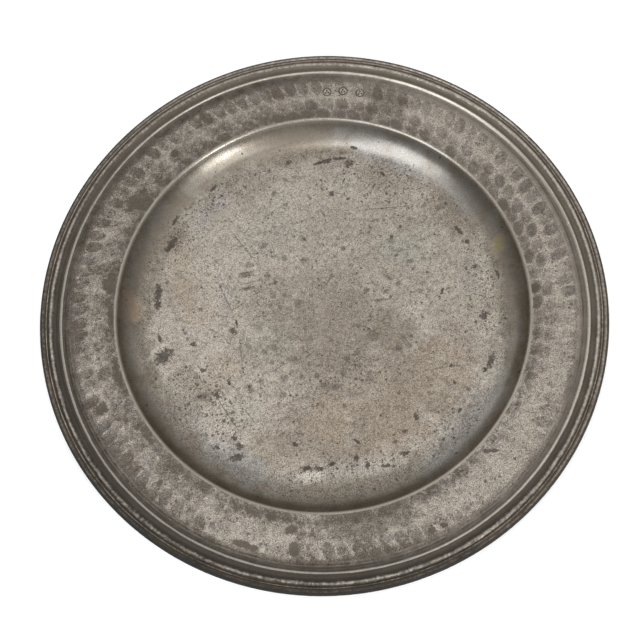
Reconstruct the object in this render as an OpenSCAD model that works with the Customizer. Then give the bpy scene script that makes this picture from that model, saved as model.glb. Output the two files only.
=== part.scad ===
// A pewter charger: a broad serving dish cast in one piece, turned on a lathe and
// finished with a reeded rim. The dish stands on the flat underside of its well.
// Sizes are in millimetres. The origin is on the axis, at the surface it stands on.

/* [Dish] */
// Diameter over the lip
charger_d = 470; // [400:1:600]
// Width of the rim, from the crest over the well out to the lip
rim_w = 62.4; // [50:0.2:90]
// Slope of the rim, rising outwards, in degrees
rim_slope = 5.6; // [1:0.1:10]
// Depth of the well, from the crest down to the floor
well_depth = 17; // [12:0.2:26]
// Width of the booge, the curved wall between the floor and the crest
booge_w = 28; // [21:0.5:44]
// Thickness of the floor and of the booge
floor_t = 2.3; // [2:0.1:4]
// Thickness of the rim
rim_t = 2.2; // [1.8:0.1:3]
// Rounding of the crest where the rim turns down into the well
crest_round = 3.8; // [1:0.1:5]
// Rounding of the hollow under the crest, where fingers lift the dish
root_round = 5; // [2:0.5:10]

/* [Reeded edge] */
// Distance of the inner reed from the lip
inner_reed_in = 16.8; // [14.5:0.1:22]
// Diameter of the inner reed
inner_reed_d = 2.4; // [1.6:0.1:3]
// Height of the inner reed over the rim
inner_reed_h = 1.1; // [0.9:0.1:1.4]
// Distance of the main reed from the lip
main_reed_in = 9; // [8.6:0.1:10.5]
// Diameter of the main reed
main_reed_d = 5.8; // [4.4:0.1:6.4]
// Height of the main reed over the rim
main_reed_h = 1.45; // [1.2:0.05:1.7]
// Distance of the thread, the fine bead next to the lip, from the lip
thread_in = 5.8; // [5:0.1:6.6]
// Diameter of the thread
thread_d = 2; // [1.4:0.1:2.4]
// Height of the thread over the rim
thread_h = 1.35; // [1.1:0.05:1.8]
// Thickness of the rounded lip
lip_d = 4.2; // [3.6:0.1:5]
// Height of the lip over the rim
lip_h = 0.8; // [0.5:0.1:1.2]
// Height of the raised band that carries the reeds, under the inner reed
band_h = 0.9; // [0.5:0.05:1]
// Height of the raised band where it runs into the lip
band_edge_h = 0.2; // [0:0.05:0.4]
// Radius of the cove that is cut between the inner and the main reed
cove_r = 3.7; // [3:0.1:6]
// Height of the bottom of the cove over the rim
cove_h = 0.3; // [0:0.05:0.4]
// Distance of the quirk, the hollow inside the inner reed, from the lip
quirk_in = 19.7; // [17.4:0.1:24.9]
// Radius of the quirk
quirk_r = 5; // [3:0.1:8]
// Depth of the quirk below the rim
quirk_depth = 0.35; // [0.1:0.05:0.5]

/* [Hidden] */
$fn = 256;

// Straight steps that stand for one turned curve
curve_steps = 20;

lip_r = charger_d / 2;
crest_r = lip_r - rim_w;
crest_z = floor_t + well_depth;
floor_r = crest_r - booge_w;
lip_in = lip_d / 2;

// The booge is one arc that leaves the floor level and reaches the crest
booge_turn = 2 * atan(well_depth / booge_w);
booge_r = booge_w / sin(booge_turn);
booge_centre = [floor_r, floor_t + booge_r];
under_r = booge_r + floor_t;

// Direction along the rim, outwards, and the direction square to it
along = [cos(rim_slope), sin(rim_slope)];
square_up = [-sin(rim_slope), cos(rim_slope)];

function angle_of(v) = atan2(v[1], v[0]);
function at_angle(a) = [cos(a), sin(a)];
function arc(centre, r, from, to) =
    [for (i = [0 : curve_steps]) centre + r * at_angle(from + (to - from) * i / curve_steps)];

// A point on the rim, given by its distance from the lip and its height over the rim
function rim_at(inset, h) = [lip_r - inset, crest_z + (rim_w - inset) * tan(rim_slope) + h];

// Centre of a rounding that touches a wall of the booge and a line drop below the top of the rim
function rounding_centre(wall_r, drop, r) =
    let (start = [crest_r, crest_z] - (drop + r) * square_up)
    let (d = start - booge_centre)
    let (reach = (wall_r + r) ^ 2 - d * d + (d * along) ^ 2)
    start + (sqrt(reach) - d * along) * along;

crest_centre = rounding_centre(booge_r, 0, crest_round);
root_centre = rounding_centre(under_r, rim_t, root_round);

// Half of the turned section, without the beads of its edge
function section() = concat(
    [[0, 0], [0, floor_t]],
    arc(booge_centre, booge_r, -90, angle_of(crest_centre - booge_centre)),
    arc(crest_centre, crest_round, angle_of(booge_centre - crest_centre), 90 + rim_slope),
    [rim_at(inner_reed_in, 0), rim_at(inner_reed_in, band_h)],
    [rim_at(lip_in, band_edge_h), rim_at(lip_in, -rim_t)],
    arc(root_centre, root_round, 90 + rim_slope, angle_of(booge_centre - root_centre)),
    arc(booge_centre, under_r, angle_of(root_centre - booge_centre), -90)
);

// A ring of round section about the axis, whose top is h over the rim
module bead(inset, h, d)
    rotate_extrude() translate(rim_at(inset, h - d / 2)) circle(d = d);

// The ring that a round tool cuts away to leave a hollow, whose bottom is h over the rim
module hollow(inset, h, r)
    bead(inset, h + 2 * r, 2 * r);

module dish() {
    color("darkgray") difference() {
        union() {
            rotate_extrude() polygon(section());
            bead(inner_reed_in, inner_reed_h, inner_reed_d);
            bead(main_reed_in, main_reed_h, main_reed_d);
            bead(thread_in, thread_h, thread_d);
            bead(lip_in, lip_h, lip_d);
        }
        hollow((inner_reed_in + main_reed_in) / 2, cove_h, cove_r);
        hollow(quirk_in, -quirk_depth, quirk_r);
    }
}

dish();
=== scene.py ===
import bpy
import bmesh
import math
from mathutils import Matrix, Vector, kdtree, noise


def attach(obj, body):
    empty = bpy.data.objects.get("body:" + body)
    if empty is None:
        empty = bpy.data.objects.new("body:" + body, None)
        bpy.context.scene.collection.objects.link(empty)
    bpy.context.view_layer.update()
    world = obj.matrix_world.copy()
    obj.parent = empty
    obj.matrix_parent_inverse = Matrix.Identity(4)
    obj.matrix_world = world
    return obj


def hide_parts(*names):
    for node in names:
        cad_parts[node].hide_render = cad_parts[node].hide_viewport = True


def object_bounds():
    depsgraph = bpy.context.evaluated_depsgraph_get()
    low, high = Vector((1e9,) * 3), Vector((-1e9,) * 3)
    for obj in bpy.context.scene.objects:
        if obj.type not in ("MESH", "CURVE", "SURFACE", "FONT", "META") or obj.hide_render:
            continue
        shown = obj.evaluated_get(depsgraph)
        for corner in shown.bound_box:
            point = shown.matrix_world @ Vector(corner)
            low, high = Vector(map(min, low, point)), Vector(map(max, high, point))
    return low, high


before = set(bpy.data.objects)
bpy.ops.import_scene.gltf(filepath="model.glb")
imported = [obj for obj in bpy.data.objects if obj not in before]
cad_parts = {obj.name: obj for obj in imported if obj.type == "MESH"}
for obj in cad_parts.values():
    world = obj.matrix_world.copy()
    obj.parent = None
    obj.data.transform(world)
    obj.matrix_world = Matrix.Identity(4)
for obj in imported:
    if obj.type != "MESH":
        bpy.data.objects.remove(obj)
cadLow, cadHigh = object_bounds()
scene = bpy.context.scene
scene.view_settings.view_transform = "Standard"
mm = 0.001
print("frame loaded, dish is", round((cadHigh.x - cadLow.x) / mm), "mm across")


# turned section of the dish, in millimetres; the lip's radius comes from the frame
dish = {
    "lipRadius": (cadHigh.x - cadLow.x) / 2 / mm,
    "rimWidth": 62.4,
    "rimSlope": math.radians(5.6),
    "rimThick": 2.2,
    "wellDepth": 17.0,
    "boogeWidth": 28.0,
    "floorThick": 2.3,
    "crestRound": 3.8,
    "rootRound": 5.0,
    "beads": [  # inset, top, thickness
        (16.8, 1.1, 2.4), (9.0, 1.45, 5.8), (5.8, 1.35, 2.0), (2.1, 0.8, 4.2),
    ],
    "hollows": [(19.7, -0.35, 5.0), (12.9, 0.3, 3.7)],  # inset, bottom, radius
    "bandHeights": (0.9, 0.2),  # under the inner reed, at the lip
    "zones": (174.3, 213.3),  # radii where the hammered rim and the reeded edge begin
    "undersideTo": 233.8,  # radius where the underside turns up into the lip
    "segments": 600,
}

# unevenness of the metal, in millimetres
uneven = {
    "floor": (0.10, 16),  # height and size of the floor's waves
    "rim": (0.5, 140),  # and of the rim's, because the whole rim is a little out of true
    "floorTo": 150,  # radius where the floor's waves end and the rim's begin
    "rimOver": 60,  # width over which the rim's reach their full height
}

# hammer marks round the rim
hammer = {
    "rows": [  # radius, half width, count, phase, depth
        (178.8, 5.0, 84, 0.10, 0.26), (188.0, 5.4, 88, 0.42, 0.28), (203.0, 7.8, 112, 0.0, 0.40),
    ],
    "from": 172,  # radius
    "wander": 0.22,  # share of a pitch that a blow strays
    "skew": 0.14,
    "steps": (0.618034, 0.754878, 0.569840),  # spread how far blows stray along and across, and their force
}

# plain round punches on the rim, each with three pellets, in millimetres from the middle of the dish
punches = {
    "places": [(26.7, 197.4), (41.1, 196.4), (56.0, 192.4)],
    "half": 3.4,
    "sink": 0.34,
    "wall": (1.12, 0.3),  # where its wall begins and how wide it is, in halves
    "burr": (0.08, 1.2, 0.2),  # height of the metal pushed up round it in millimetres, where, half its width
    "pellets": [(0.0, 1.2), (-1.2, -0.8), (1.2, -0.8)],
    "pelletHalf": 0.85,
    "pelletRise": 0.26,
    "widths": (7.4, 1.8),  # of a punch and of a pellet in the finish
}

# knocks on the reeds and the lip: azimuth in degrees, radius, half the length and depth in millimetres
knocks = [
    (11, 218, 1.8, 0.3), (54, 226, 2.2, 0.5), (62, 226, 1.8, 0.4), (71.5, 226.5, 2.2, 0.5),
    (79, 226, 2.0, 0.5), (97, 218, 1.8, 0.3), (112, 232, 2.6, 0.5), (133, 226, 2.0, 0.4),
    (149, 216, 2.2, 0.4), (171, 232, 2.4, 0.5), (186, 226, 2.4, 0.4), (205, 218, 1.9, 0.3),
    (214, 232, 3.0, 0.6), (229, 226, 2.0, 0.4), (243, 218, 2.2, 0.3), (255, 232, 2.6, 0.5),
    (262, 226, 2.4, 0.5), (281, 218, 1.8, 0.3), (291, 232, 2.2, 0.4), (306, 226, 2.0, 0.4),
    (318, 218, 2.2, 0.3), (331, 232, 3.0, 0.5), (344, 226, 2.4, 0.4), (353, 218, 1.8, 0.3),
]
struckReach = {"finer": 1.4, "sunk": 1.5}  # how far round a punch or a knock, in halves


def fract(value):
    return value - math.floor(value)


def rimAt(inset, height=0.0):  # a point of the section, by distance from the lip and height over the rim
    rise = (dish["rimWidth"] - inset) * math.tan(dish["rimSlope"])
    return dish["lipRadius"] - inset, dish["floorThick"] + dish["wellDepth"] + rise + height


def arcPoints(centre, radius, fromAngle, toAngle, steps):
    turns = [fromAngle + (toAngle - fromAngle) * i / steps for i in range(steps + 1)]
    return [(centre[0] + radius * math.cos(a), centre[1] + radius * math.sin(a)) for a in turns]


def linePoints(start, end, steps):
    return [(start[0] + (end[0] - start[0]) * i / steps, start[1] + (end[1] - start[1]) * i / steps)
            for i in range(steps + 1)]


def mouldingHeight(inset):  # reeds, cove and quirk over the plain rim
    inner, edge = dish["beads"][0][0], dish["beads"][-1][0]
    height = 0.0
    if inset < inner:
        share = (inner - inset) / (inner - edge)
        height = dish["bandHeights"][0] * (1 - share) + dish["bandHeights"][1] * share
    for at, top, thick in dish["beads"]:
        reach = (thick / 2) ** 2 - (inset - at) ** 2
        if reach > 0:
            height = max(height, top - thick / 2 + math.sqrt(reach))
    for at, bottom, radius in dish["hollows"]:
        reach = radius ** 2 - (inset - at) ** 2
        if reach > 0:
            height = min(height, bottom + radius - math.sqrt(reach))
    return height


def sectionPoints():
    crestX, crestZ = rimAt(dish["rimWidth"])
    crest = Vector((crestX, crestZ))
    floorX = crestX - dish["boogeWidth"]
    turn = 2 * math.atan(dish["wellDepth"] / dish["boogeWidth"])
    inner = dish["boogeWidth"] / math.sin(turn)
    outer = inner + dish["floorThick"]
    middle = Vector((floorX, dish["floorThick"] + inner))
    along = Vector((math.cos(dish["rimSlope"]), math.sin(dish["rimSlope"])))
    upward = Vector((-along.y, along.x))

    def roundingCentre(wall, drop, radius):  # touches a wall of the booge and a line below the rim's top
        start = crest - (drop + radius) * upward
        offset = start - middle
        reach = (wall + radius) ** 2 - offset.length_squared + offset.dot(along) ** 2
        return start + (math.sqrt(reach) - offset.dot(along)) * along

    def heading(vector):
        return math.atan2(vector.y, vector.x)

    down = -math.pi / 2
    square = heading(upward)
    crestAt = roundingCentre(inner, 0, dish["crestRound"])
    rootAt = roundingCentre(outer, dish["rimThick"], dish["rootRound"])
    crestEnd = crestAt + dish["crestRound"] * upward
    rootEnd = rootAt + dish["rootRound"] * upward
    lipIn, lipTop, lipThick = dish["beads"][-1]
    lipAt = rimAt(lipIn, lipTop - lipThick / 2)
    lipUnder = -math.pi + math.asin((dish["rimThick"] + lipTop - lipThick / 2) / (lipThick / 2))
    fieldEnd = dish["hollows"][0][0] + 2.4  # where the hammered field gives way to the mouldings

    points = linePoints((0, dish["floorThick"]), (floorX, dish["floorThick"]), 12)
    points += arcPoints(middle, inner, down, heading(crestAt - middle), 16)[1:]
    points += arcPoints(crestAt, dish["crestRound"], heading(middle - crestAt), square, 6)[1:]
    points += linePoints(crestEnd, rimAt(fieldEnd), 32)[1:]
    insets = [p[0] for p in linePoints((fieldEnd, 0), (lipIn, 0), 46)]
    points += [rimAt(inset, mouldingHeight(inset)) for inset in insets[1:]]
    points += arcPoints(lipAt, lipThick / 2, -down, lipUnder, 16)[1:]
    points += linePoints(points[-1], rootEnd, 5)[1:]
    points += arcPoints(rootAt, dish["rootRound"], square, heading(middle - rootAt), 5)[1:]
    points += arcPoints(middle, outer, heading(rootAt - middle), down, 10)[1:]
    points += linePoints(points[-1], (0, 0), 3)[1:]
    return points


def hammerDepth(radius, turn):  # how far a blow has sunk the rim here
    alongStep, acrossStep, forceStep = hammer["steps"]
    depth = 0.0
    for at, half, count, phase, sink in hammer["rows"]:
        across = (radius - at) / half
        if abs(across) > 1.3:
            continue
        blow = turn * count + phase
        cell = math.floor(blow) % count
        stray = (fract(cell * alongStep) - 0.5) * hammer["wander"]
        side = fract(blow) - 0.5 - stray - hammer["skew"] * across
        across += (fract(cell * acrossStep) - 0.5) * 0.4
        reach = 1 - (side / 0.5) ** 2 - across ** 2
        depth = max(depth, sink * (0.5 + 0.5 * fract(cell * forceStep)) * max(0.0, reach))
    return depth


def struckPlaces():  # punches and knocks as x, y, half width and depth
    places = [(x, y, punches["half"], punches["sink"]) for x, y in punches["places"]]
    for azimuth, radius, half, sink in knocks:
        turned = math.radians(azimuth)
        places.append((radius * math.cos(turned), radius * math.sin(turned), half, sink))
    return places


def struckDepth(x, y, spot, punched):
    spotX, spotY, half, sink = spot
    away = math.hypot(x - spotX, y - spotY) / half
    if not punched:
        return sink * max(0.0, 1 - away ** 2)
    wallAt, wall = punches["wall"]
    burr, burrAt, burrHalf = punches["burr"]
    depth = sink * max(0.0, min(1.0, (wallAt - away) / wall))
    depth -= burr * max(0.0, 1 - abs(away - burrAt) / burrHalf)
    for left, up in punches["pellets"]:
        near = math.hypot(x - spotX - left, y - spotY - up) / punches["pelletHalf"]
        depth -= punches["pelletRise"] * max(0.0, 1 - near ** 2)
    return depth


def wave(x, y, layer, height, size):
    return height * noise.noise(Vector((x, y, layer)) / size)


def makeDish():
    bm = bmesh.new()
    section = [bm.verts.new((x * mm, 0, z * mm)) for x, z in sectionPoints()]
    edges = [bm.edges.new(pair) for pair in zip(section, section[1:])]
    bmesh.ops.spin(bm, geom=section + edges, axis=(0, 0, 1), cent=(0, 0, 0), angle=2 * math.pi / 8,
                   steps=dish["segments"] // 8)
    for doubling in (1, 2, 4):  # an eighth of a turn becomes the whole
        twin = bmesh.ops.duplicate(bm, geom=bm.verts[:] + bm.edges[:] + bm.faces[:])["geom"]
        bmesh.ops.rotate(bm, verts=[g for g in twin if isinstance(g, bmesh.types.BMVert)], cent=(0, 0, 0),
                         matrix=Matrix.Rotation(2 * math.pi * doubling / 8, 3, "Z"))
    bmesh.ops.remove_doubles(bm, verts=bm.verts, dist=1e-6)
    bmesh.ops.recalc_face_normals(bm, faces=bm.faces)
    spots = struckPlaces()
    found = kdtree.KDTree(len(spots))
    for index, spot in enumerate(spots):
        found.insert((spot[0], spot[1], 0), index)
    found.balance()
    finer = {4: set(), 2: set()}  # edges about the punches and the knocks, which get a finer mesh
    for face in bm.faces:
        middle = face.calc_center_median() / mm
        index, away = found.find((middle.x, middle.y, 0))[1:]
        if face.normal.z > 0 and away < spots[index][2] * struckReach["finer"]:
            finer[4 if index < len(punches["places"]) else 2].update(face.edges)
    for cuts, edges in finer.items():
        inOrder = sorted(edges, key=lambda edge: edge.index)
        bmesh.ops.subdivide_edges(bm, edges=inOrder, cuts=cuts, use_grid_fill=True)
    for vert in bm.verts:
        x, y, z = vert.co / mm
        radius = math.hypot(x, y)
        turn = fract(math.atan2(y, x) / (2 * math.pi))
        line = rimAt(dish["lipRadius"] - radius)[1]
        if radius > hammer["from"] and z > line - dish["rimThick"] / 2:
            index, away = found.find((x, y, 0))[1:]
            if away < spots[index][2] * struckReach["sunk"]:
                z -= struckDepth(x, y, spots[index], index < len(punches["places"]))
            else:
                z -= hammerDepth(radius, turn)
        elif radius < uneven["floorTo"] and z > dish["floorThick"] / 2:
            z += wave(x, y, 7, *uneven["floor"])
        swayed = max(0.0, min(1.0, (radius - uneven["floorTo"]) / uneven["rimOver"]))
        z += wave(x, y, 0, *uneven["rim"]) * swayed
        vert.co.z = z * mm
    for face in bm.faces:
        face.smooth = True
        middle = face.calc_center_median() / mm
        out = math.hypot(middle.x, middle.y)
        below = face.normal.z < -0.05 and out < dish["undersideTo"]
        face.material_index = 3 if below else sum(out > start for start in dish["zones"])
    mesh = bpy.data.meshes.new("dish")
    bm.to_mesh(mesh)
    bm.free()
    for material in (makeWell(), makeRim(), makeReeds(), makeUnderside()):
        mesh.materials.append(material)
    piece = bpy.data.objects.new("dishFace", mesh)
    scene.collection.objects.link(piece)
    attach(piece, "root")
    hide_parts("dish")
    print("dish has", sum(len(p.vertices) - 2 for p in mesh.polygons), "triangles")


# camera fitted to the rings of the photographed dish
view = {
    "aim": (-3.2, -16.9),  # level with the lip
    "distance": 752.0,
    "elevation": math.radians(71.71),
    "roll": math.radians(6.64),
    "lens": 51.38,
}


def makeCamera():
    back = Vector((0, -math.cos(view["elevation"]), math.sin(view["elevation"])))
    right = Vector((1, 0, 0))
    upward = back.cross(right)
    across = right * math.cos(view["roll"]) - upward * math.sin(view["roll"])
    tall = right * math.sin(view["roll"]) + upward * math.cos(view["roll"])
    data = bpy.data.cameras.new("camera")
    data.lens = view["lens"]
    data.sensor_width = 36
    data.clip_start = 0.01
    camera = bpy.data.objects.new("camera", data)
    lipIn, lipTop, lipThick = dish["beads"][-1]
    aim = Vector((*view["aim"], rimAt(lipIn, lipTop - lipThick / 2)[1]))
    place = (aim + view["distance"] * back) * mm
    turned = Matrix((across, tall, back)).transposed().to_4x4()
    camera.matrix_world = Matrix.Translation(place) @ turned
    scene.collection.objects.link(camera)
    scene.camera = camera
    print("camera placed at", [round(c, 3) for c in place])


# soft studio: a pale floor, a room that is brightest overhead and dimmer to both sides, and four soft boxes
studio = {
    "overhead": 1.165,
    "sideLoss": 0.46,
    "sideFade": (0.08, 0.75),
    "lowLoss": 0.50,
    "lowFade": (0.90, 0.0),
    "brightFrom": 0.16,  # the bright stretch of the room lies a little to the right
    "floorTone": (0.86, 0.86, 0.86, 1),
    "floorGlow": 0.25,
    "boxes": {  # direction from the dish, the way its first side runs, both sides in metres, radiance
        "frontRight": ((0.46, -0.60, 0.65), (0.79, 0.61, 0), (0.29, 1.35), 3.1),
        "rightCore": ((0.49, -0.69, 0.54), (0.82, 0.58, 0), (0.18, 0.42), 10.0),
        "frontLeft": ((-0.372, -0.268, 0.890), (-0.69, 0.73, 0), (0.50, 1.3), 2.85),
        "backLeft": ((-0.45, 0.65, 0.55), (0.82, 0.57, 0), (0.90, 0.80), 0.5),
    },
    "boxDistance": 1.4,
    "boxTone": (0.93, 0.965, 1.0),
}


def makeStudio():
    world = bpy.data.worlds.new("room")
    world.use_nodes = True
    nodes = world.node_tree.nodes
    around = parts(nodes.new("ShaderNodeTexCoord").outputs["Generated"])
    aside = calc("ABSOLUTE", calc("SUBTRACT", around["X"], studio["brightFrom"]))
    sides = span(ease(aside, *studio["sideFade"]), 1.0, 1.0 - studio["sideLoss"])
    low = span(ease(around["Z"], *studio["lowFade"]), 1.0, 1.0 - studio["lowLoss"])
    feed(nodes["Background"].inputs["Color"], (1, 1, 1, 1))
    feed(nodes["Background"].inputs["Strength"], times(sides, low, studio["overhead"]))
    scene.world = world
    for name, (towards, along, size, radiance) in studio["boxes"].items():
        towards = Vector(towards).normalized()
        tall = towards.cross(Vector(along)).normalized()
        data = bpy.data.lights.new(name, "AREA")
        data.shape = "RECTANGLE"
        data.size, data.size_y = size
        data.energy = radiance * math.pi * size[0] * size[1]
        data.color = studio["boxTone"]
        lamp = bpy.data.objects.new(name, data)
        turned = Matrix((tall.cross(towards), tall, towards)).transposed().to_4x4()
        lamp.matrix_world = Matrix.Translation(towards * studio["boxDistance"]) @ turned
        scene.collection.objects.link(lamp)
    bm = bmesh.new()
    bmesh.ops.create_grid(bm, x_segments=1, y_segments=1, size=6)
    mesh = bpy.data.meshes.new("floor")
    bm.to_mesh(mesh)
    bm.free()
    floor = bpy.data.objects.new("floor", mesh)
    scene.collection.objects.link(floor)
    paper = bpy.data.materials.new("floorPaper")
    paper.use_nodes = True
    nodes = paper.node_tree.nodes
    path = nodes.new("ShaderNodeLightPath")
    seen = [path.outputs[ray] for ray in ("Is Camera Ray", "Is Glossy Ray", "Is Transmission Ray")]
    glow = times(total("MAXIMUM", seen), studio["floorGlow"])
    finish(paper, {"Base Color": studio["floorTone"], "Roughness": 0.9, "Emission Color": (1, 1, 1, 1),
                   "Emission Strength": glow})
    mesh.materials.append(paper)
    print("studio set")


def feed(socket, value):
    if isinstance(value, bpy.types.NodeSocket):
        socket.id_data.links.new(value, socket)
    elif value is not None:
        socket.default_value = value


def newNode(kind, values, **settings):  # beside the first socket among its values; None keeps a default
    tree = next(value for value in values if isinstance(value, bpy.types.NodeSocket)).id_data
    made = tree.nodes.new("ShaderNode" + kind)
    for name, setting in settings.items():
        setattr(made, name, setting)
    for socket, value in zip(made.inputs, values):
        feed(socket, value)
    return made.outputs


def finish(material, values):
    for label, value in values.items():
        feed(material.node_tree.nodes["Principled BSDF"].inputs[label], value)


def calc(operation, *values, clamp=False):
    return newNode("Math", values, operation=operation, use_clamp=clamp)[0]


def total(operation, values):  # one sum, product or maximum of many values
    result = values[0]
    for value in values[1:]:
        result = calc(operation, result, value)
    return result


def times(*values):
    return total("MULTIPLY", values)


def timesPlus(value, factor, added):
    return calc("MULTIPLY_ADD", value, factor, added)


def ease(value, low, high):  # 0 at low, 1 at high, smooth between
    return newNode("MapRange", (value, low, high), interpolation_type="SMOOTHSTEP")["Result"]


def span(value, low, high):  # a straight change from low, at 0, to high, at 1
    return newNode("MapRange", (value, None, None, low, high))["Result"]


def arrow(operation, *values):
    made = newNode("VectorMath", values, operation=operation)
    return made["Value" if operation == "DOT_PRODUCT" else "Vector"]


def parts(vector):  # x, y and z
    return newNode("SeparateXYZ", (vector,))


def turnFlat(vector, angle):
    return newNode("VectorRotate", (vector, None, None, angle), rotation_type="Z_AXIS")["Vector"]


def cloud(place, size, detail=3.0, rough=0.55, seed=0, output="Fac"):  # soft noise, lumps about size across
    shifted = arrow("ADD", place, (seed * 61.3, seed * 37.7, seed * 11.9))
    return newNode("TexNoise", (shifted, None, 1 / size, detail, rough))[output]


def tint(share, first, second, way="MIX"):
    values = (share, *[None] * 5, first, second)  # its colours come after its numbers and vectors
    return newNode("Mix", values, data_type="RGBA", blend_type=way)[2]


def tone(red, green, blue):  # a colour as read from 0 to 255, made linear
    return [((c / 255 + 0.055) / 1.055) ** 2.4 for c in (red, green, blue)] + [1]


def newGroup(name, inputs, outputs):
    tree = bpy.data.node_groups.new(name, "ShaderNodeTree")
    for label in inputs:
        kind = "NodeSocketVector" if label in ("Place", "Flat", "Along", "Across") else "NodeSocketFloat"
        tree.interface.new_socket(label, in_out="INPUT", socket_type=kind)
    for label in outputs:
        tree.interface.new_socket(label, in_out="OUTPUT", socket_type="NodeSocketFloat")
    given = tree.nodes.new("NodeGroupInput").outputs
    results = tree.nodes.new("NodeGroupOutput").inputs
    return tree, given, results


def useGroup(group, *values):
    return newNode("Group", values, node_tree=group)


def makeHammerRow():  # the same blows that sink the rim, as masks for its finish
    labels = ["Radius", "Turn", "Row", "Half width", "Count", "Phase"]
    tree, given, results = newGroup("hammerRow", labels, ["Mark", "Ridge"])
    alongStep, acrossStep, forceStep = hammer["steps"]
    across = calc("DIVIDE", calc("SUBTRACT", given["Radius"], given["Row"]), given["Half width"])
    blow = timesPlus(given["Turn"], given["Count"], given["Phase"])
    cell = calc("FLOORED_MODULO", calc("FLOOR", blow), given["Count"])

    def chance(step, low, high):
        return span(calc("FRACT", times(cell, step)), low, high)

    stray = hammer["wander"] / 2
    side = calc("SUBTRACT", calc("FRACT", blow), chance(alongStep, 0.5 - stray, 0.5 + stray))
    side = timesPlus(across, -hammer["skew"], side)
    across = calc("ADD", across, chance(acrossStep, -0.2, 0.2))
    flat = calc("SUBTRACT", 1.0, calc("POWER", times(side, 2.0), 2.0))
    reach = calc("SUBTRACT", flat, calc("POWER", across, 2.0))
    force = chance(forceStep, 0.4, 1.0)
    feed(results["Mark"], times(ease(reach, -0.35, 0.65), force))
    edge = times(ease(reach, -0.45, 0.0), ease(reach, 0.30, 0.0))
    feed(results["Ridge"], times(edge, ease(calc("ABSOLUTE", across), 1.0, 0.5), force))
    return tree


def makeOval():  # squared distance from the middle of an oval spot; 1 is its edge
    tree, given, results = newGroup("oval", ["Flat", "Along", "Across"], ["Away"])
    along = arrow("DOT_PRODUCT", given["Flat"], given["Along"])
    across = arrow("DOT_PRODUCT", given["Flat"], given["Across"])
    feed(results["Away"], timesPlus(along, along, times(across, across)))
    return tree


def makePits():  # pits, one in a cell at most; share is how many cells hold one, edge where a pit is full
    tree, given, results = newGroup("pits", ["Place", "Spacing", "Size", "Share", "Edge"], ["Pit"])
    scale = calc("DIVIDE", 1.0, given["Spacing"])
    cells = newNode("TexVoronoi", (given["Place"], None, scale), voronoi_dimensions="2D")
    chance = newNode("SeparateColor", (cells["Color"],))
    reach = times(given["Size"], span(chance["Green"], 0.4, 1.0))
    pit = ease(calc("DIVIDE", cells["Distance"], reach), 1.25, given["Edge"])
    held = calc("LESS_THAN", chance["Red"], given["Share"])
    feed(results["Pit"], times(pit, held))
    return tree


def makeStrokes():  # short fine strokes that all run about one way
    tree, given, results = newGroup("strokes", ["Place", "Angle", "Length", "Width"], ["Stroke"])
    x, y = parts(turnFlat(given["Place"], given["Angle"]))[:2]
    drawn = newNode("CombineXYZ", (calc("DIVIDE", x, given["Length"]), calc("DIVIDE", y, given["Width"])))[0]
    feed(results["Stroke"], ease(cloud(drawn, 1.0, detail=1.0), 0.58, 0.72))
    return tree


# the finish of old pewter, with colours too for painted highlights, a painted shadow and a painted
# reflection; colours are read from 0 to 255
patina = {
    "pale": (170, 162, 151),
    "dull": (141, 132, 121),
    "warm": (151, 135, 117),
    "cool": (152, 150, 147),
    "lilac": (154, 149, 149),
    "green": (147, 146, 136),
    "blue": (126, 127, 126),
    "booge": (137, 131, 121),
    "shade": (126, 117, 105),
    "bruise": (104, 97, 88),
    "rimDark": (90, 83, 75),
    "rimGrey": (96, 91, 86),
    "rimPale": (162, 153, 142),
    "grime": (56, 50, 43),
    "olive": (98, 90, 80),
    "brown": (86, 75, 63),
    # bare rubbed metal, also the colour of the painted highlights on the crest and the reeds
    "rubbedAndLit": (178, 171, 160),
    "scab": (68, 60, 52),
    "speck": (74, 67, 60),
    # near black: a painted shadow on the lip's outer face
    "edge": (26, 23, 20),
    "groove": (58, 47, 37),
    "stain": (84, 77, 68),
    # a painted reflection of a yellowish thing nearby
    "yellowReflection": (160, 145, 106),
}
colour = {name: tone(*read) for name, read in patina.items()}

# fine grain: strokes as angle, length and width, pits as spacing, size and share
grain = {
    "strokes": [(0.35, 5.0, 0.8), (1.1, 4.0, 0.7), (1.9, 5.5, 0.8), (2.6, 4.5, 0.75), (-0.4, 6.0, 0.85)],
    "contrast": (2.5, -0.46),  # of the grain and of the strokes
    "pits": [(2.0, 0.34, 0.5), (4.2, 0.28, 0.5), (8.5, 0.20, 0.4)],
    "cracks": [  # size, seed, width, how dark
        (9.0, 20, 0.045, 0.42), (5.5, 24, 0.055, 0.34), (6.5, 28, 0.05, 0.34),
    ],
    "stray": (2.0, 1.6),  # size of the lumps that bend a pit, and how far
    "turned": 6.0,  # millimetres between the turned lines of the underside
}

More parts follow.
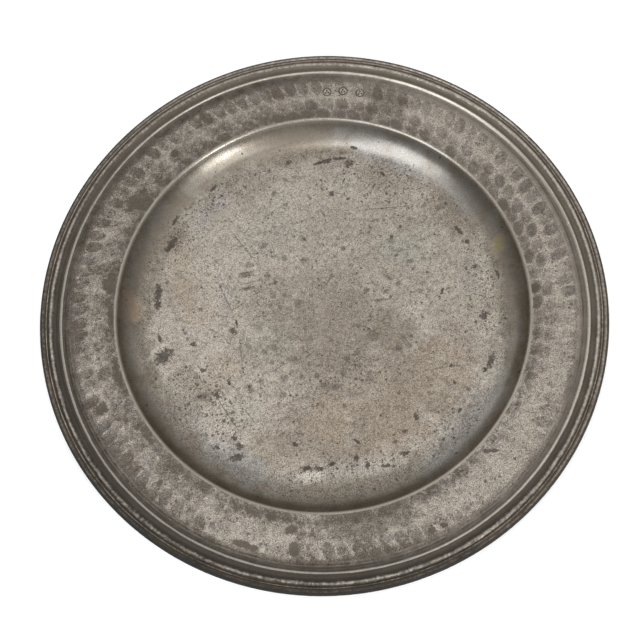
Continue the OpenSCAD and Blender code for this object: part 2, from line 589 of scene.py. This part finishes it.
# marks on the well, in millimetres from the middle of the dish: place, length, width, angle in degrees;
# one without a width is round, and one without an angle is level
wellMarks = {
    "faintTo": 4.2,  # scabs smaller than this are fainter
    "scabs": [
        (-124, 77, 15, 7, 58), (-128, 71, 6, 4, 60), (-139, 32, 16, 6, 78), (-140, 21, 9, 6, 100),
        (-138, -26, 16, 12, 40), (-140, -10, 3, 9, 10), (-131, -22, 5, 4), (-118, -7.5, 3.4, 3),
        (-117, -13, 3.4, 3), (-112, -18.3, 5.4, 4.4), (12, 138, 12, 3, 15), (19, 139, 9, 5, 10),
        (31, 140, 14, 3, -6), (39, 134, 9, 7, 20), (45, 148, 7, 3, -20), (20.2, 106.6, 5, 6),
        (34, 99.3, 3.4, 3), (-21.3, 100.6, 4, 3.4), (-15, 142, 6, 4, 20), (-84, 125, 8, 3.4, 45),
        (-120, 97, 9, 3, 55), (-104.3, 12.3, 4, 3), (-77.3, -11, 8, 5, 120), (-74, -4, 8, 1.8, 95),
        (-105, -42, 4.4, 4), (-96, -64.5, 8, 4.4, -50), (-84, -102, 5), (-80, -109, 7, 5, 110),
        (-83, -118, 12, 6, 10), (-69, -93.3, 2.4, 2), (-27.4, -133.3, 9, 4, -10), (-18, -135, 8, 3.4),
        (-7.3, -132, 5, 4, 10), (13, -130, 4.4), (21.3, -136.4, 4, 6), (36.5, -138.8, 8, 3),
        (42, -135, 4, 3), (53, -130.5, 8, 3.4, 10), (48.7, -130, 3), (54.5, -113.2, 5, 3, 20),
        (15.2, -116.5, 8, 2.4, -38), (65.7, -102, 4, 6.4, 10), (101.7, -100.6, 6, 3, 40),
        (111.4, -84, 4, 3.4), (134, -62, 15, 5, 62), (128, -69, 5, 3, 60), (122.6, -15.5, 2.8),
        (135, -22.5, 7, 6, 30), (103, 3.4, 3, 6, -18), (128, 46, 4, 3, 40), (131.5, 46, 5, 4, -30),
        (126, 57, 4, 10, 30), (152, 13, 3, 8, 12), (134, 22, 5, 4), (-71.2, 90.8, 2.2, 2),
        (-76, 92.5, 2, 1.8), (-86.4, 109.3, 3, 4, 20), (-19.5, 125, 4, 2.6, 20), (-50.5, 26.5, 2.6, 2.8),
        (-71.8, 19.6, 2.8, 2.4), (-70, 15, 3.6, 2.4, 10), (-131, 40.5, 3.2), (-109.6, 45.4, 2.6, 2),
        (-56, 122, 2, 4, 25), (-64, 117.8, 2.4, 2.2), (32.3, 118, 5, 1.8, 60), (58, 109, 5, 1.8, 57),
        (67.6, 119.7, 3, 6.4, 30), (53.2, 75.6, 2.8), (57, 75.2, 2.2, 2), (50, 69.5, 2.6), (48, 65, 3),
        (99.8, 96, 2.6, 2.8), (99, 84.3, 3, 3.4), (68.8, 41, 4, 3, 20), (81.6, 26.5, 2.4, 3),
        (76.7, 5.8, 2), (126.6, 22.3, 2.2), (-122.3, -47.5, 3, 2.6), (-84.4, -54.4, 3, 5, 10),
        (-94, -61, 4, 3), (-101, -68, 3), (-98.6, -70.6, 3.4, 2.4), (-104.7, -79.7, 2.6, 2.2),
        (-106, -97, 3.6, 2.4, -40), (-98.6, -108, 5, 2.4, -40), (-43.2, -102.9, 2.4),
        (-35, -112.6, 5, 3.6, -20), (-22, -112, 2.4), (-45.3, -77.7, 2), (14, -101.3, 2.4, 2),
        (8.5, -85.8, 4, 3), (60.3, -79.7, 2.6, 2, 20), (55, -79.4, 2.2, 2), (81.6, -77, 3, 2),
        (57.5, -64.5, 2.2, 2), (65.1, -62, 2.2, 2), (101, -62.7, 5, 3), (64.3, -116, 2.4, 2),
        (45.6, -120.5, 4, 3, 20), (126.6, -87, 3, 2.6),
    ],
    "scratches": [
        (-62.4, 65.8, 46.2, 0.9, -59), (-96.2, 71.2, 8.3, 0.8, -54), (-88.8, 56.6, 13.4, 0.8, -50),
        (-81.2, 19.1, 30, 1.1, -70), (-69.4, 11.7, 15, 1, 27), (-77.3, 30.5, 6.6, 1, -57),
        (-53.5, 10.4, 10.8, 0.9, -47), (-94.7, -8, 20.5, 0.9, -36), (-82.7, -19.5, 13.3, 0.9, -56),
        (-62, 41, 16, 1.2, 4), (-63.2, 37.7, 14.6, 1, 6), (-60, 31.3, 20.2, 0.9, 7),
        (-62, 26.7, 14.1, 1.6, 6), (-57, 20, 12.6, 1, 18), (-54.8, 58.2, 10, 0.9, -14),
        (-85, 3.8, 14.4, 1, -14), (64, 86.6, 38, 1, -2), (82.8, 89.8, 6.1, 1, -38),
        (26.1, 121.8, 13.1, 0.8, -118), (10.3, 88, 7, 1, -58), (37.8, 63.1, 14.6, 0.7, 42),
        (15.2, 47.5, 6.2, 0.9, -54), (9.2, 26.8, 13.7, 0.9, 58), (-91.6, -46.5, 21.8, 0.9, -54),
        (-81, -59.3, 11.6, 0.9, -43), (-88.6, -79.8, 37.4, 1, -62), (-70.6, -84.3, 18.1, 0.8, -57),
        (-72.4, -34, 32, 0.8, -88), (-22.8, -23.5, 15.1, 0.8, -47), (-15.8, -39.5, 10.4, 1.2, 36),
        (-44.1, -48.4, 11.6, 0.9, 27), (-33.2, -105, 11.8, 0.9, 10), (39.3, -24.6, 16.4, 1, -39),
        (43.2, -32.2, 6.9, 1, -135), (24.4, -90, 17, 0.7, 45), (24.1, -117.2, 6.3, 0.9, 29),
        (89, -63.6, 20, 0.8, 2), (-17, 123.5, 13.5, 0.8, 138), (-108.5, -39, 6.7, 1, -63),
    ],
    "bruises": [
        (-43.8, 36.3, 6), (-59.6, 48, 5, 7), (-40.2, 17.4, 5, 7), (-36, 6.4, 5), (-43.8, 8.3, 5),
        (-31, 16.5, 4.4, 4), (-37.7, 29, 5, 3), (-27.4, 49.6, 6, 5), (-11.6, 46, 5), (-8.5, 13, 4),
        (-62, 26.5, 9, 4, 6), (-31, 113, 4, 8, -25), (-45, 63.6, 9, 5, 20), (-20, 8, 9, 6),
        (-63, 39, 12, 5, 5), (65.7, 54.5, 7, 6), (73, 44.8, 6, 3, 25), (79.7, 33.8, 6, 4),
        (66.3, 14.3, 6, 4), (56, 8.9, 6, 4, 20), (39, 12, 6, 5), (24.3, 52.7, 5), (50, 2, 16, 3),
        (59.6, 21.6, 9, 4, -30), (113, 81.3, 9, 6, 20), (-16.4, -15.2, 4, 5), (-38.3, -57.2, 7),
        (-57.8, -57.2, 5, 6), (-67, -63.3, 5, 6), (-39.6, -70.6, 5, 4), (-31, -51.7, 4),
        (-23.7, -57.2, 4, 5), (-11, -58.4, 6, 5), (-5.5, -67, 7, 6), (-15.8, -46.9, 3, 5),
        (-8, -49.3, 7, 3), (-47, -42, 4, 5), (-53, -32, 6, 5), (-65.7, -26, 5), (-43.8, -29.8, 6),
        (-13.4, -25.6, 5, 6), (-28, -41.4, 8, 5), (-107, -64.5, 13, 8), (59.7, -42.6, 7, 6),
        (71.2, -33, 4, 4.4), (64.5, -33.5, 6, 4), (68.8, -41.4, 5), (25, -42, 6, 4), (15.8, -46.3, 5, 6),
        (11, -57.2, 6, 8), (3.6, -69.4, 10, 5, 15), (23.7, -53, 8, 3), (33.5, -60.3, 6, 5),
        (22.5, -64.5, 6, 3), (39, -28.6, 10, 8, -40), (40, -11.6, 5), (27.4, -18.3, 11, 4, -10),
        (7.3, -39, 5, 3), (79, -83.4, 4, 3),
    ],
    "crowds": [  # where specks crowd, with their weight
        (-100, 99, 100, 34, 45, 0.40), (-37, 135, 34, 10, 12, 0.50), (70, 111, 100, 50, -35, 0.32),
        (-105, -71, 90, 60, -50, 0.40), (-10, -137, 120, 24, 0, 0.40), (70, -119, 110, 26, 40, 0.30),
        (134, 4, 36, 100, 0, 0.38), (0, -51, 110, 60, 0, 0.18),
    ],
    "tints": [  # soft changes of tone, with their weight
        (62, -80, 150, 78, 28, "warm", 0.5), (35, -112, 90, 40, 5, "warm", 0.35),
        (-108, 35, 50, 90, 15, "warm", 0.45), (-143, 52, 26, 60, -20, "shade", 0.6),
        (-92, -45, 34, 44, 30, "warm", 0.4), (-72, -80, 70, 60, -30, "pale", 0.65),
        (-70, 70, 90, 80, 20, "pale", 0.7), (4, -14, 136, 116, 0, "shade", 0.62),
        (8, -60, 60, 40, 0, "shade", 0.5), (-25, -114, 140, 60, 0, "shade", 0.8),
        (45, -95, 90, 70, 0, "shade", 0.38), (58, -28, 50, 50, 0, "shade", 0.6),
        (-10, -80, 60, 40, 0, "shade", 0.5), (-112, -64, 40, 40, 0, "shade", 0.4),
        (-5, -95, 50, 44, 0, "warm", 0.4), (75, 45, 50, 40, 0, "green", 0.5),
        (-35, 75, 44, 40, 0, "green", 0.45), (-45, -25, 40, 40, 0, "green", 0.4),
        (-70, -82, 40, 30, 0, "green", 0.4), (-90, 103, 56, 18, 45, "lilac", 0.4),
        (-84, 28, 16, 44, 10, "lilac", 0.4), (-122, -78, 56, 26, -50, "blue", 0.4),
        (128, 15, 22, 44, 0, "blue", 0.35), (110, -111, 120, 40, 45, "cool", 0.5),
        (-10, -141, 150, 26, 0, "cool", 0.25), (78, 138, 130, 36, -30, "cool", 0.6),
        # at (156, 38) a painted reflection of a yellowish thing, on the booge wall
        (156, 38, 18, 11, 75, "yellowReflection", 0.6), (0, 92, 150, 70, 0, "pale", 0.45),
        (-90, 38, 50, 60, 0, "pale", 0.7), (-125, 82, 44, 28, 55, "shade", 0.7),
        (-12, 155, 70, 36, 5, "shade", 0.8), (62, 118, 44, 30, -30, "shade", 0.5),
        (124, 78, 40, 56, 30, "shade", 0.7), (62, -60, 44, 36, 0, "shade", 0.5),
        (92, -92, 40, 30, 30, "shade", 0.45), (-5, -150, 100, 18, 0, "shade", 0.6),
        (-125, -78, 60, 16, 122, "shade", 0.4), (120, 2, 44, 44, 0, "pale", 0.5),
        # (-163, -16) and (123, -110) lighten the upper booge wall at the left and lower right: painted
        # light, as if it reflected more there
        (134, -70, 66, 16, 62, "pale", 0.7), (-163, -16, 110, 14, 96, "pale", 0.35),
        (123, -110, 120, 12, 48, "pale", 0.35), (134, 86, 60, 26, 122, "rimGrey", 0.3),
        (134, 86, 60, 26, 122, "blue", 0.3), (-162, 21, 40, 18, 97, "warm", 1.0),
        (0, -78, 250, 150, 0, "shade", 0.24), (-45, 8, 60, 60, 0, "shade", 0.3),
        (-48, -122, 54, 38, 0, "shade", 0.35), (-120, -60, 38, 46, 0, "shade", 0.35),
        (-86, -119, 90, 28, -37, "blue", 0.5), (-25, -141, 28, 12, 5, "pale", 0.8),
    ],
    "blows": (30.0, 105.0),  # soft dull blows lie between these radii
}

# dark spots on the rim
rimSpots = [
    (-114, 154, 9, 7, 40), (-176, 38, 20, 14, 80), (-149, 112, 28, 17, 40), (-176, 8, 22, 7, 88),
    (-173, -42, 30, 7, 102), (-143, -134, 5.4, 5), (-186, -70, 12, 10, 60), (-136, -122, 4, 3),
    (120, -139.5, 10, 3, -6), (115, -139, 6, 4), (-43, -197, 13, 9, 80), (-44, -182, 10, 8),
    (-58, -170, 9, 8), (63, -195, 7, 5, 10), (73, -192, 6, 4), (-24, -212, 11, 5, 6),
    (177, -9, 10, 8, 10), (-80, -190, 26, 6, -24),
]

# wear of the rim: how much paler or darker each feature is than the rest of it
rimWear = {
    "base": 0.55,
    "side": (-0.3, 0.08),  # towards which it is most worn, in radians, and how much
    "middle": 0.07,
    "inner": -0.20,
    "margin": -0.30,
    "blows": [(-0.21, -0.32), (-0.16, -0.36), (-0.26, -0.30)],  # on most sides, and where the finish is even
    "bald": [(-76, -189, 70, 38, -22), (120, -168, 110, 44, 36), (193, -63, 84, 24, 72)],
    "dusk": [  # dull patches
        (14, -184, 84, 28, 4), (77, 181, 42, 34, -20), (190, -93, 40, 9, 63), (143, -158, 34, 6, 48),
        (108, -183, 40, 5, 31),
    ],
    "ridges": (0.03, 0.03, 0.20),  # between the blows of each row
    "patches": [  # paler or duller stretches, with their weight
        (149, -125, 130, 50, 50, 0.09), (127, 152, 160, 46, 140, 0.12),
        (-162, -113, 120, 60, 125, -0.06), (-84, -176, 80, 44, 155, -0.06), (-17, 196, 60, 14, 5, -0.08),
        (-18, 207, 70, 10, 5, -0.14), (-171, -120, 100, 12, 125, -0.20), (18, -208, 80, 10, 5, -0.24),
        (17, -197, 60, 12, 5, -0.12), (-87, -187, 60, 14, 155, 0.20), (196, 10, 130, 40, 93, 0.06),
        (41, 194, 60, 26, -7, 0.16), (-120, 162, 120, 14, 38, 0.06), (-122, 145, 110, 14, 40, -0.12),
        (-207, 0, 80, 10, 90, -0.16), (17, -195, 100, 46, 5, -0.05),
    ],
    "even": (0.87, 0.70),  # where the finish is most even, and the wear it has there
    "lines": [  # fine turned lines: radius, how much paler
        (208.9, -0.18), (210.6, 0.12), (212.0, -0.08), (213.1, 0.05), (214.5, -0.14),
    ],
}

# bare metal and painted highlight on the reeds: radius, half the width that shows, how bright, and how much
# brighter to the right
reedWearAndSheen = [
    (218.2, 1.4, 0.95, 0.0), (226.1, 2.7, 0.58, 0.16), (229.3, 0.9, 0.52, -0.04), (232.1, 1.7, 0.44, 0.14),
]
edgeGrooves = (228.0, 230.5, 233.2)  # radii of the dark grooves beside the outer reeds
crestLine = (173.0, 2.5)  # radius and half the width of the bare line over the booge, which also carries a painted highlight


def oval(flat, x, y, length, width=None, angle=0):  # a spot of one length is round
    width = width or length
    cosine, sine = math.cos(math.radians(angle)), math.sin(math.radians(angle))
    along = Vector((cosine, sine, -(x * cosine + y * sine))) * 2 / length
    across = Vector((-sine, cosine, x * sine - y * cosine)) * 2 / width
    return useGroup(ovalGroup, flat, along, across)["Away"]


def nearest(flat, spots):  # the nearest of many spots, as a squared distance
    return total("MINIMUM", [oval(flat, *at) for at in spots])


def ring(radius, at, half):  # 1 on a circle, fading to 0 at half a width either side
    return ease(calc("ABSOLUTE", calc("SUBTRACT", radius, at)), half, 0.0)


def swing(value, much):  # noise about a half becomes a change about zero
    return timesPlus(value, much, -much / 2)


def facing(turn, angle):  # 1 on the side of the dish that lies at angle, -1 opposite
    return calc("COSINE", timesPlus(turn, 2 * math.pi, -angle))


def shade(face, value, strength=1.0):  # darker where the value is below 1, lighter above
    grey = newNode("CombineColor", (value, value, value))[0]
    return tint(strength, face, grey, "MULTIPLY")


def coat(face, name, *masks):  # a colour of the patina over a face, as strong as its masks together
    return tint(times(*masks), face, colour[name])


def newPewter(name):
    material = bpy.data.materials.new(name)
    material.use_nodes = True
    nodes = material.node_tree.nodes
    place = arrow("MULTIPLY", nodes.new("ShaderNodeTexCoord").outputs["Object"], (1 / mm, 1 / mm, 1 / mm))
    x, y = parts(place)[:2]
    radius = calc("SQRT", timesPlus(x, x, times(y, y)))
    turn = calc("FRACT", calc("DIVIDE", calc("ARCTAN2", y, x), 2 * math.pi))
    return material, place, radius, turn


def finishPewter(material, face, rough, metal, height):  # height in millimetres
    nodes = material.node_tree.nodes
    relief = nodes.new("ShaderNodeBump")
    for label, value in {"Strength": 1.0, "Distance": mm, "Height": height}.items():
        feed(relief.inputs[label], value)
    finish(material, {"Normal": relief.outputs[0], "Base Color": face, "Roughness": rough,
                      "Metallic": metal})
    print(material.name, "has", len(nodes), "nodes")
    return material


def flatten(place):  # height gives way to 1, as ovals need it
    return arrow("MULTIPLY_ADD", place, (1, 1, 0), (0, 0, 1))


def driftOf(place):  # wide noise about zero that strays the borders of tones
    return swing(cloud(place, 16.0, 3.0, 0.6, 1), 1.0)


def strayPlace(place, size, much):  # coordinates bent a little, so that round pits come out ragged
    bend = cloud(place, size, 2.0, 0.6, 12, "Color")
    return arrow("MULTIPLY_ADD", bend, (much, much, 0), place)


def addGrain(place, bent, face, fine, strength, share):  # fine grain, strokes and specks over a tone
    crooked = strayPlace(place, 9.0, 7.0)
    strokes = [useGroup(strokeGroup, crooked, *stroke)[0] for stroke in grain["strokes"]]
    grained, stroked = grain["contrast"]
    change = timesPlus(total("MAXIMUM", strokes), stroked, swing(fine, grained))
    face = shade(face, calc("ADD", change, 1.14), strength)
    specks = [useGroup(pits, bent, spacing, size, times(share, held), 0.5)[0]
              for spacing, size, held in grain["pits"]]
    dark = times(total("MAXIMUM", specks), 0.75)
    return coat(face, "speck", dark), dark


def hollowGrimeAndLight(place, turn):  # grime in the hollows of the edge, with painted light on the coves: paler to the upper right, darker to the lower left
    # painted light: the coves lighter on the side the light falls on
    share = timesPlus(facing(turn, 1.05), 0.40, 0.45)
    share = calc("ADD", share, swing(cloud(place, 24.0, 3.0, 0.6, 6), 0.6))
    return tint(ease(share, 0.0, 1.0), colour["grime"], colour["olive"])


def marginTone(place, radius, turn):  # paler to the right, darker towards the first reed
    share = span(ease(facing(turn, 0.05), -0.2, 0.9), 0.16, 0.60)
    share = calc("ADD", share, swing(cloud(place, 9.0, 5.0, 0.7, 5), 0.7))
    plain = ease(facing(turn, 1.9), 0.1, 0.8)  # at the top the lines hardly show, and there is less grime
    fall = times(ease(radius, 210.8, 214.6), span(plain, 0.54, 0.12))
    share = calc("MULTIPLY", share, calc("SUBTRACT", 1.0, fall), clamp=True)
    broken = ease(cloud(place, 14.0, 3.0, 0.6, 16), 0.36, 0.56)
    broken = times(broken, span(plain, 1.0, 0.15))
    for at, much in rimWear["lines"]:
        line = times(ring(radius, at, 1.0), broken)
        share = calc("MULTIPLY_ADD", line, much, share, clamp=True)
    return tint(share, colour["grime"], colour["rimPale"])


def crestWearAndHighlight(place, radius, turn):  # the crest over the booge is rubbed bare and carries a painted highlight, stronger on some sides
    broken = swing(cloud(place, 3.0, 3.0, 0.65, 9), 1.6)
    top = ease(facing(turn, 1.6), 0.45, 0.95)
    line = ring(timesPlus(top, 1.1, radius), *crestLine)  # painted highlight: further in at the top, where the light catches the crest
    # how bright the line is round the dish: partly wear, partly painted highlight
    much = timesPlus(facing(turn, -0.5), 0.12, 0.43)
    much = timesPlus(facing(times(turn, 2.0), -0.7), 0.10, much)
    return times(ease(calc("ADD", line, broken), 0.15, 0.85), much)


def makeWell():  # floor and booge
    material, place, radius, turn = newPewter("pewterWell")
    flat = flatten(place)
    ragged = swing(cloud(place, 2.4, 5.0, 0.75), 7.0)
    drift = driftOf(place)
    fine = cloud(place, 0.72, 1.0, 0.6, 2)
    mottle = cloud(place, 5.0, 4.0, 0.68, 3)
    wide = cloud(place, 42.0, 3.0, 0.6, 4)
    bent = strayPlace(place, *grain["stray"])
    floor = tint(ease(wide, 0.15, 0.75), colour["dull"], colour["pale"])
    floor = shade(floor, span(mottle, 0.86, 1.14))
    inner, outer = wellMarks["blows"]
    struck = times(ease(radius, inner - 20, inner), ease(radius, outer, outer - 30))
    blows = useGroup(pits, bent, 7.5, 0.36, times(struck, 0.6), -0.3)["Pit"]
    floor = coat(floor, "shade", blows, 0.5)
    booge = tint(ease(drift, -0.15, 0.15), colour["booge"], colour["shade"])
    onFloor = ease(timesPlus(drift, 30.0, radius), 155.0, 141.0)
    face = tint(onFloor, booge, floor)
    for *spot, name, weight in wellMarks["tints"]:
        away = timesPlus(drift, 2.5, oval(flat, *spot))
        face = coat(face, name, ease(away, 1.3, 0.0), weight)
    bruised = timesPlus(ragged, 0.6, nearest(flat, wellMarks["bruises"]))
    face = coat(face, "bruise", ease(bruised, 1.7, 0.0), 0.75)
    density = cloud(place, 24.0, 2.0, 0.6, 7)
    for *spot, weight in wellMarks["crowds"]:
        away = timesPlus(drift, 2.5, oval(flat, *spot))
        density = timesPlus(ease(away, 1.0, 0.1), weight, density)
    smooth = ease(timesPlus(facing(turn, 1.4), 5.0, radius), 153.0, 164.0)
    strength = span(smooth, 1.0, 0.25)
    share = times(ease(density, 0.38, 1.0), span(smooth, 1.0, 0.15))
    face, dark = addGrain(place, bent, face, fine, strength, share)
    for size, seed, width, much in grain["cracks"]:
        line = calc("ABSOLUTE", swing(cloud(place, size, 3.0, 0.6, seed), 1.0))
        broken = ease(cloud(place, size * 0.8, 2.0, 0.6, seed + 1), 0.46, 0.60)
        face = coat(face, "speck", ease(line, width, 0.0), times(broken, much), strength)
    small = [spot for spot in wellMarks["scabs"] if max(spot[2:4]) < wellMarks["faintTo"]]
    large = [spot for spot in wellMarks["scabs"] if spot not in small]
    crust = ease(calc("ADD", nearest(flat, large), ragged), 1.3, 0.6)
    faint = ease(calc("ADD", nearest(flat, small), ragged), 1.3, 0.6)
    crust = calc("MAXIMUM", crust, times(faint, 0.6))
    cuts = ease(calc("ADD", nearest(flat, wellMarks["scratches"]), ragged), 1.6, 0.2)
    face = coat(face, "scab", crust, span(mottle, 0.5, 1.2))
    face = coat(face, "speck", cuts, 0.6)
    face = coat(face, "rubbedAndLit", crestWearAndHighlight(place, radius, turn))
    rough = timesPlus(smooth, -0.16, span(mottle, 0.34, 0.50))
    rough = timesPlus(calc("MAXIMUM", crust, dark), 0.25, rough)
    height = timesPlus(mottle, 0.05, times(fine, times(strength, 0.035)))
    return finishPewter(material, face, rough, span(crust, 1.0, 0.6), height)


def makeRim():  # hammered field: dark skin left in the blows, pale worn metal between them
    material, place, radius, turn = newPewter("pewterRim")
    flat = flatten(place)
    ragged = swing(cloud(place, 3.0, 4.0, 0.68), 5.0)
    drift = driftOf(place)
    fine = cloud(place, 0.72, 1.0, 0.6, 2)
    mottle = cloud(place, 4.0, 5.0, 0.7, 3)
    bent = strayPlace(place, *grain["stray"])
    towards, sideWear = rimWear["side"]
    right = facing(turn, towards)
    middle = times(ease(radius, 183.0, 189.0), ease(radius, 200.0, 194.0))
    margin = ease(timesPlus(drift, 10.0, radius), 206.5, 211.5)
    evenSide, evenWear = rimWear["even"]
    even = ease(facing(turn, evenSide), 0.2, 0.95)
    patchy = ease(cloud(place, 40.0, 2.0, 0.5, 10), 0.30, 0.66)
    inner = times(ease(radius, 184.0, 177.0), patchy)
    shown = span(cloud(place, 1.8, 4.0, 0.7, 11), -0.2, 2.4)  # blows are ragged, and worn away in places
    bald = timesPlus(drift, 1.5, nearest(flat, rimWear["bald"]))
    shown = times(shown, span(ease(bald, 0.7, 1.2), 0.15, 1.0))
    shown = timesPlus(calc("SUBTRACT", 1.0, shown), span(even, 0.0, 0.8), shown)
    deeper = span(ease(facing(turn, 0.05), 0.88, 1.0), 1.0, 1.5)  # blows show best on the right
    changes = [(right, sideWear), (middle, rimWear["middle"]), (inner, rimWear["inner"]), (drift, 0.7),
               (margin, rimWear["margin"])]
    for *spot, weight in rimWear["patches"]:
        away = timesPlus(drift, 1.5, oval(flat, *spot))
        changes.append((ease(away, 1.3, 0.0), weight))
    for row, mark, ridge in zip(hammer["rows"], rimWear["blows"], rimWear["ridges"]):
        struck = useGroup(hammerRow, radius, turn, *row[:4])
        sunk = times(struck["Mark"], shown, span(even, *mark), deeper)
        changes += [(sunk, 1.0), (struck["Ridge"], ridge)]
    worn = times(swing(mottle, 0.95), span(even, 1.0, 0.8))
    worn = calc("ADD", calc("ADD", worn, swing(fine, 0.65)), rimWear["base"])
    for mask, much in changes:
        worn = timesPlus(mask, much, worn)
    worn = ease(worn, 0.12, 0.92)
    worn = timesPlus(calc("SUBTRACT", evenWear, worn), span(even, 0.0, 0.08), worn)
    skin = tint(ease(drift, -0.06, 0.10), colour["rimDark"], colour["rimGrey"])
    face = coat(skin, "rimPale", worn)
    face = tint(times(margin, ease(radius, 206.0, 212.5)), face, marginTone(place, radius, turn))
    dusk = timesPlus(drift, 2.0, nearest(flat, rimWear["dusk"]))
    face = coat(face, "stain", ease(dusk, 1.2, 0.2), 0.5)
    stains = ease(cloud(place, 7.0, 4.0, 0.65, 14), 0.50, 0.62)  # near the crest, away from the even side
    stains = times(stains, times(ease(radius, 188.0, 179.0), 0.7), span(even, 1.0, 0.2))
    face = coat(face, "stain", stains)
    spots = ease(timesPlus(ragged, 0.7, nearest(flat, rimSpots)), 1.2, 0.5)
    face = coat(face, "stain", spots, 0.88)
    punchWidth, pelletWidth = punches["widths"]
    struck = nearest(flat, [(x, y, punchWidth) for x, y in punches["places"]])
    face = coat(face, "rimPale", ease(struck, 1.0, 0.4), 0.8)
    outline = times(ease(struck, 1.6, 1.0), ease(struck, 0.3, 0.8))
    outline = times(outline, span(cloud(place, 2.6, 3.0, 0.6, 17), 0.2, 1.4))  # worn
    face = coat(face, "grime", outline, 0.85)
    pellets = [(x + left, y + up, pelletWidth)
               for x, y in punches["places"] for left, up in punches["pellets"]]
    face = coat(face, "grime", ease(nearest(flat, pellets), 1.4, 0.4), 0.9)
    strength = calc("MAXIMUM", span(worn, 0.35, 1.0), span(even, 0.85, 0.0))
    strength = times(strength, span(calc("MAXIMUM", spots, stains), 1.0, 0.3))
    share = times(worn, ease(cloud(place, 20.0, 2.0, 0.6, 7), 0.35, 0.85))
    face, dark = addGrain(place, bent, face, fine, strength, share)
    face = coat(face, "rubbedAndLit", crestWearAndHighlight(place, radius, turn))
    rough = timesPlus(dark, 0.2, span(worn, 0.36, 0.50))
    height = timesPlus(times(fine, strength), 0.035, times(mottle, 0.05))
    return finishPewter(material, face, rough, span(dark, 1.0, 0.7), height)


def makeReeds():  # reeded edge: grime and painted shade in its hollows, bare metal and painted highlights on the reeds, painted shadow on the lip
    material, place, radius, turn = newPewter("pewterReeds")
    across = newNode("CombineXYZ", (None, None, radius))[0]
    drawn = arrow("MULTIPLY_ADD", place, (0.12, 0.12, 0), across)  # drawn out along the reeds
    drift = driftOf(place)
    fine = cloud(place, 1.2, 2.0, 0.65, 2)
    mottle = cloud(drawn, 1.8, 3.0, 0.6, 3)
    right = facing(turn, rimWear["side"][0])
    hollow = hollowGrimeAndLight(place, turn)
    lip = coat(hollow, "brown", ease(timesPlus(right, 0.06, drift), -0.16, 0.20))
    face = tint(ease(radius, 226.8, 228.0), hollow, lip)
    face = tint(ease(radius, 219.0, 218.0), face, marginTone(place, radius, turn))
    # the side where the reeds carry the most painted highlight and the lip's painted shadow is lightest
    litSide = facing(turn, -0.25)
    # painted shade on the outer reeds and the lip at the near side
    nearLipShade = times(ease(facing(turn, 4.5), 0.5, 0.95), ease(radius, 227.0, 228.5))
    turned = ease(facing(turn, 0.8), 0.6, 1.0)
    shifted = timesPlus(facing(turn, -0.1), -0.65, radius)  # the first reed's bright line lies further out to the right
    shifted = timesPlus(turned, 0.6, shifted)
    broad = timesPlus(facing(turn, 3.4), 0.4, radius)
    broad = timesPlus(turned, 0.6, broad)
    wider = span(ease(facing(turn, 0.2), 0.0, 1.0), 1.0, 1.5)
    shines = []
    for line, (at, half, much, more) in zip((shifted, broad, radius, radius), reedWearAndSheen):
        width = times(half, wider) if line is shifted else half  # the first reed's is wider to the right
        shines.append(times(ring(line, at, width), timesPlus(litSide, more, much)))
    bareAndSheen = total("MAXIMUM", shines)
    grooves = total("MAXIMUM", [ring(radius, at, 0.9) for at in edgeGrooves])
    face = coat(face, "groove", grooves, 0.55)
    front = times(ease(facing(turn, 4.7), 0.2, 0.9), ease(radius, 221.0, 223.0))
    left = times(ease(facing(turn, 3.08), 0.86, 1.0), ease(radius, 228.6, 227.6))
    top = times(ease(facing(turn, 2.0), 0.2, 0.9), ease(radius, 222.0, 220.5))
    bareAndSheen = times(bareAndSheen, span(front, 1.0, 0.72), span(left, 1.0, 1.4), span(top, 1.0, 0.74))
    crust = swing(cloud(place, 2.4, 4.0, 0.65, 8), 1.0)  # the outer reeds are the most broken
    bareAndSheen = timesPlus(crust, span(ease(radius, 220.0, 223.0), 0.35, 1.0), bareAndSheen)
    bareAndSheen = ease(calc("ADD", bareAndSheen, swing(mottle, 0.6)), 0.10, 0.95)
    bareAndSheen = times(bareAndSheen, span(nearLipShade, 1.0, 0.5))
    face = coat(face, "edge", nearLipShade, 0.42)
    face = coat(face, "rubbedAndLit", bareAndSheen)
    face = shade(face, span(fine, 0.55, 1.45))
    # painted shadow on the lip's outer face, widest at the near side, with less metal in it
    outer = timesPlus(nearLipShade, 1.3, radius)
    edge = times(ease(outer, 232.9, 234.1), timesPlus(litSide, -0.2, 0.8))
    face = coat(face, "edge", edge)
    rough = timesPlus(edge, 0.4, span(bareAndSheen, 0.46, 0.28))
    height = timesPlus(fine, 0.02, times(mottle, 0.04))
    metal = calc("MULTIPLY_ADD", edge, -0.8, span(bareAndSheen, 0.75, 1.0), clamp=True)
    return finishPewter(material, face, rough, metal, height)


def makeUnderside():  # even skin over turned lines
    material, place, radius = newPewter("pewterUnderside")[:3]
    fine = cloud(place, 1.1, 2.0, 0.65, 2)
    wide = cloud(place, 18.0, 5.0, 0.65, 4)
    face = tint(ease(wide, 0.0, 0.9), colour["rimGrey"], colour["dull"])
    share = ease(cloud(place, 24.0, 2.0, 0.6, 7), 0.45, 0.9)
    bent = strayPlace(place, *grain["stray"])
    face, dark = addGrain(place, bent, face, fine, span(wide, 0.4, 1.0), share)
    lines = calc("SINE", times(radius, 2 * math.pi / grain["turned"]))
    face = shade(face, timesPlus(lines, 0.05, 1.0))
    rough = timesPlus(dark, 0.2, span(wide, 0.40, 0.54))
    height = timesPlus(fine, 0.02, times(lines, 0.02))
    return finishPewter(material, face, rough, span(dark, 1.0, 0.7), height)


hammerRow, ovalGroup, pits, strokeGroup = makeHammerRow(), makeOval(), makePits(), makeStrokes()
makeCamera()
makeStudio()
makeDish()
